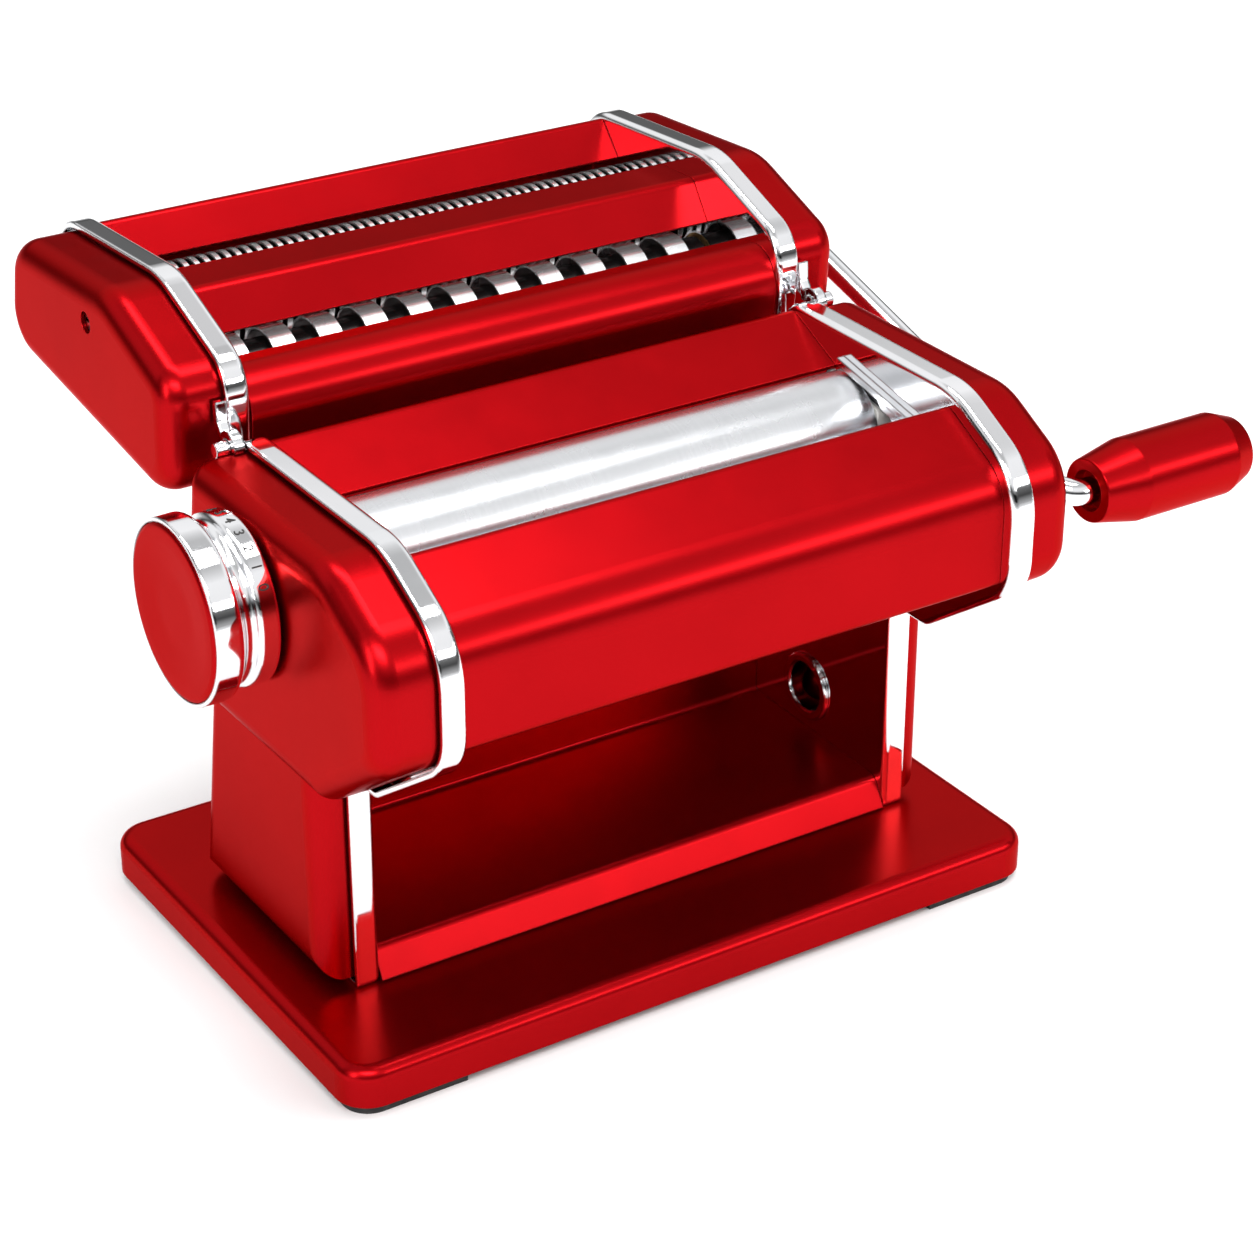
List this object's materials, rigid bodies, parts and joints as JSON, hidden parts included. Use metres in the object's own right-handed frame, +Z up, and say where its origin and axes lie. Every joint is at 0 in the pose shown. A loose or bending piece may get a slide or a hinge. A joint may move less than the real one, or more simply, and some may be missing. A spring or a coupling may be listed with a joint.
{
  "type": "pasta roller machine",
  "caption": "Hand-cranked pasta machine: smooth rollers with a thickness knob, and a removable head with wide and narrow cutters.",
  "frame": {"origin": "on the table, under the middle of the whole machine's outline", "axes": "+X along the rollers towards the crank, -Y towards the sloping hood, +Z up"},
  "size_m": [0.2828, 0.1986, 0.1701],
  "materials": {
    "red_metal": "satin anodised",
    "chrome": "polished",
    "steel": "satin",
    "bush_brass": "satin",
    "grey_plastic": "matte",
    "black_rubber": "matte"
  },
  "bodies": {
    "frame": {"base_plate": "red_metal", "rubber_feet": "black_rubber", "left_side_frame": "chrome", "right_side_frame": "chrome", "left_side_cover": "red_metal", "right_side_cover": "red_metal", "front_hood": "red_metal", "rear_hood": "red_metal", "floor_panel": "red_metal", "body_tie_rods": "steel", "rear_rail": "steel", "body_tie_nuts": "steel", "base_screws": "steel", "clamp_socket": "chrome", "roller_guards": "chrome", "front_roller_bushes": "bush_brass", "front_scraper": "grey_plastic", "left_adjuster_bracket": "steel", "right_adjuster_bracket": "steel", "bracket_posts": "steel", "index_pin": "steel", "hanger_pegs": "chrome"},
    "roller_carriage": {"left_roller_block": "grey_plastic", "right_roller_block": "grey_plastic", "rear_scraper": "grey_plastic"},
    "front_roller_set": {"front_roller": "steel", "front_roller_gear": "steel"},
    "rear_roller_set": {"rear_roller": "steel", "rear_roller_gear": "steel"},
    "adjuster": {"adjuster_shaft": "steel", "knob_spring": "steel"},
    "knob": {"knob_body": "chrome", "knob_cap": "red_metal"},
    "cutter_head": {"left_head_frame": "chrome", "right_head_frame": "chrome", "left_head_cover": "red_metal", "right_head_cover": "red_metal", "head_front_panel": "red_metal", "head_middle_panel": "red_metal", "head_rear_panel": "red_metal", "head_cover_screws": "steel", "head_tie_rods": "steel", "head_tie_nuts": "steel", "cutter_bushes": "bush_brass", "wide_combs": "steel", "narrow_combs": "steel", "hanger_hooks": "chrome"},
    "wide_front_set": {"wide_cutter_front": "chrome", "wide_gear_front": "steel"},
    "wide_rear_set": {"wide_cutter_rear": "chrome", "wide_gear_rear": "steel"},
    "narrow_front_set": {"narrow_cutter_front": "chrome", "narrow_gear_front": "steel"},
    "narrow_rear_set": {"narrow_cutter_rear": "chrome", "narrow_gear_rear": "steel"},
    "crank": {"crank_spigot": "chrome", "crank_rod": "chrome", "grip_retainer": "steel"},
    "grip": {"crank_grip": "red_metal"}
  },
  "joints": [
    {"name": "front_roller_spin", "type": "hinge", "parent": "frame", "child": "front_roller_set", "pos_m": [-0.02565, -0.0661, 0.11174], "axis": [1, 0, 0], "continuous": true},
    {"name": "roller_gap_slide", "type": "slide", "parent": "frame", "child": "roller_carriage", "axis": [0, -0.9816, -0.1908], "range_m": [0, 0.0043]},
    {"name": "rear_roller_spin", "type": "hinge", "parent": "roller_carriage", "child": "rear_roller_set", "pos_m": [-0.02565, -0.0339, 0.118], "axis": [1, 0, 0], "continuous": true},
    {"name": "thickness_turn", "type": "hinge", "parent": "frame", "child": "adjuster", "pos_m": [-0.02565, -0.03601, 0.11759], "axis": [1, 0, 0], "range_deg": [0, 120]},
    {"name": "knob_pull", "type": "slide", "parent": "adjuster", "child": "knob", "axis": [-1, 0, 0], "range_m": [0, 0.004], "stiffness_N_per_m": 1500, "springref_m": -0.002, "deforming": ["knob_spring"]},
    {"name": "cutter_head_lift", "type": "slide", "parent": "frame", "child": "cutter_head", "axis": [0, 0, 1], "range_m": [0, 0.06]},
    {"name": "wide_rear_spin", "type": "hinge", "parent": "cutter_head", "child": "wide_rear_set", "pos_m": [-0.02565, 0.0354, 0.1392], "axis": [1, 0, 0], "continuous": true},
    {"name": "wide_front_spin", "type": "hinge", "parent": "cutter_head", "child": "wide_front_set", "pos_m": [-0.02565, 0.0172, 0.1392], "axis": [1, 0, 0], "continuous": true},
    {"name": "narrow_rear_spin", "type": "hinge", "parent": "cutter_head", "child": "narrow_rear_set", "pos_m": [-0.02565, 0.07555, 0.145], "axis": [1, 0, 0], "continuous": true},
    {"name": "narrow_front_spin", "type": "hinge", "parent": "cutter_head", "child": "narrow_front_set", "pos_m": [-0.02565, 0.05765, 0.145], "axis": [1, 0, 0], "continuous": true},
    {"name": "crank_pull", "type": "slide", "parent": "wide_rear_set", "child": "crank", "axis": [1, 0, 0], "range_m": [0, 0.026]},
    {"name": "grip_spin", "type": "hinge", "parent": "crank", "child": "grip", "pos_m": [-0.02565, -0.07907, 0.10594], "axis": [1, 0, 0], "continuous": true}
  ],
  "couplings": [
    {"joint": "rear_roller_spin", "follows": "front_roller_spin", "ratio": -1},
    {"joint": "roller_gap_slide", "follows": "thickness_turn", "m_per_rad": 0.002053},
    {"joint": "wide_front_spin", "follows": "wide_rear_spin", "ratio": -1},
    {"joint": "narrow_front_spin", "follows": "narrow_rear_spin", "ratio": -1}
  ]
}
